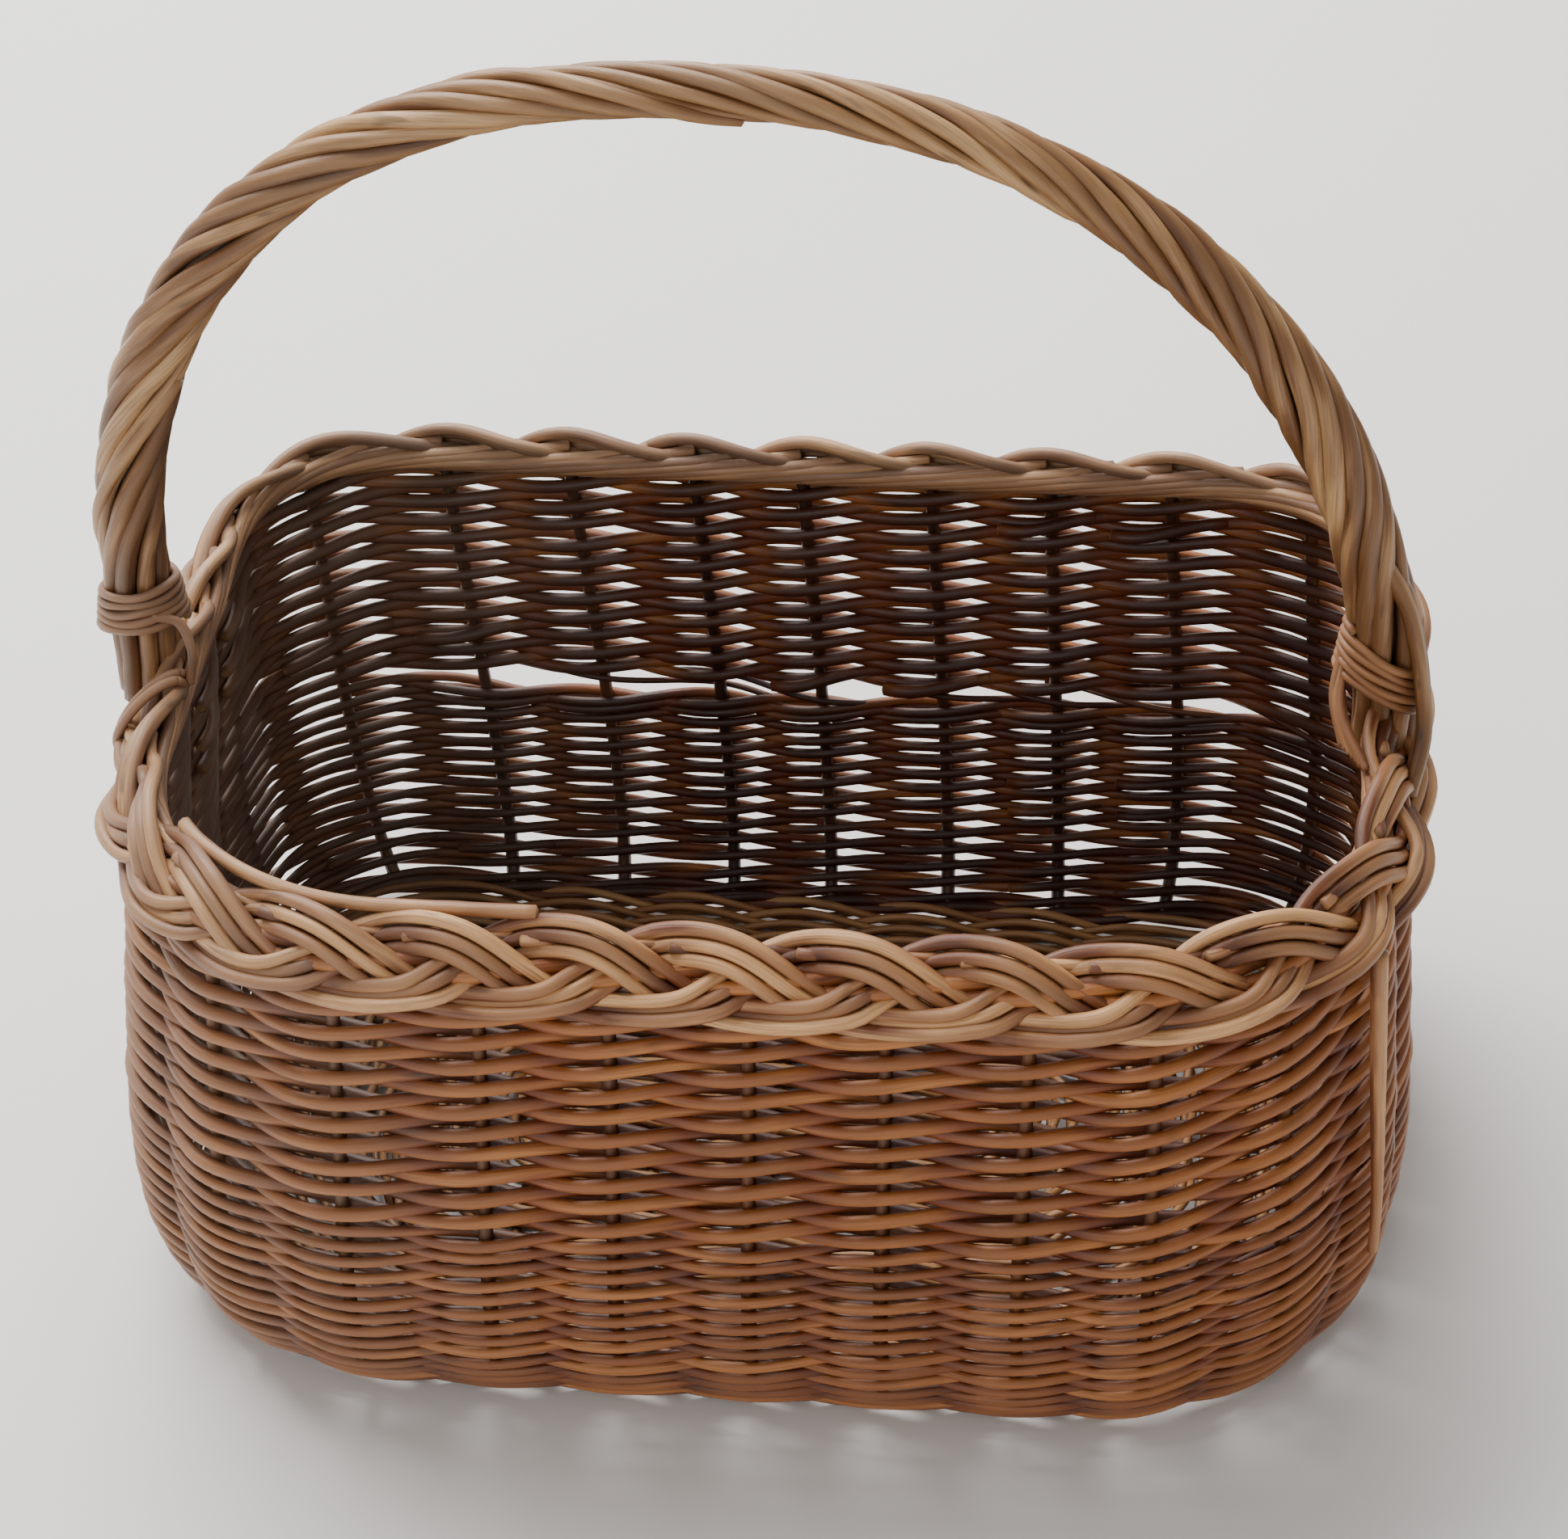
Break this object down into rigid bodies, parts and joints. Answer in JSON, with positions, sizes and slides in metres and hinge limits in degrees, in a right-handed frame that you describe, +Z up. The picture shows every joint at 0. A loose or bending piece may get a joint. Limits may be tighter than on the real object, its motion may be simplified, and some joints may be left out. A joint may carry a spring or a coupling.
{
  "type": "woven wicker basket",
  "caption": "Oblong willow shopping basket with rounded corners, an open top, a plaited border and one fixed bow handle arching over its length.",
  "frame": {"origin": "centre of the base's underside, on the surface that the basket stands on", "axes": "+X along the basket's length, which is also the handle's span; +Y towards the long side away from the viewer's usual place; +Z up"},
  "size_m": [0.4221, 0.3002, 0.4097],
  "materials": {
    "willow_siding": "satin",
    "willow_fine_weave": "satin",
    "willow_base": "satin",
    "willow_stakes": "satin",
    "willow_border": "satin",
    "willow_handle": "satin",
    "willow_lashing": "satin"
  },
  "bodies": {
    "root": {"base_stick_crosswise_1": "willow_stakes", "base_stick_crosswise_2": "willow_stakes", "base_stick_crosswise_3": "willow_stakes", "base_stick_crosswise_4": "willow_stakes", "base_stick_crosswise_5": "willow_stakes", "base_stick_crosswise_6": "willow_stakes", "base_stick_crosswise_7": "willow_stakes", "base_stick_lengthwise_1": "willow_stakes", "base_stick_lengthwise_2": "willow_stakes", "base_stick_lengthwise_3": "willow_stakes", "border_strand_inner": "willow_border", "border_strand_middle": "willow_border", "border_strand_outer": "willow_border", "handle_lashing_left": "willow_lashing", "handle_lashing_right": "willow_lashing", "handle_rod_1": "willow_handle", "handle_rod_2": "willow_handle", "handle_rod_3": "willow_handle", "handle_rod_4": "willow_handle", "handle_rod_5": "willow_handle", "handle_rod_6": "willow_handle", "handle_rod_core": "willow_handle", "loose_rod_end": "willow_border", "stake_01": "willow_stakes", "stake_02": "willow_stakes", "stake_03": "willow_stakes", "stake_04": "willow_stakes", "stake_05": "willow_stakes", "stake_06": "willow_stakes", "stake_07": "willow_stakes", "stake_08": "willow_stakes", "stake_09": "willow_stakes", "stake_10": "willow_stakes", "stake_11": "willow_stakes", "stake_12": "willow_stakes", "stake_13": "willow_stakes", "stake_14": "willow_stakes", "stake_15": "willow_stakes", "stake_16": "willow_stakes", "stake_17": "willow_stakes", "stake_18": "willow_stakes", "stake_19": "willow_stakes", "stake_20": "willow_stakes", "stake_21": "willow_stakes", "stake_22": "willow_stakes", "stake_23": "willow_stakes", "stake_24": "willow_stakes", "stake_25": "willow_stakes", "stake_26": "willow_stakes", "stake_27": "willow_stakes", "stake_28": "willow_stakes", "weave_base": "willow_base", "weave_lower_band": "willow_fine_weave", "weave_upper_band": "willow_siding"}
  },
  "joints": []
}
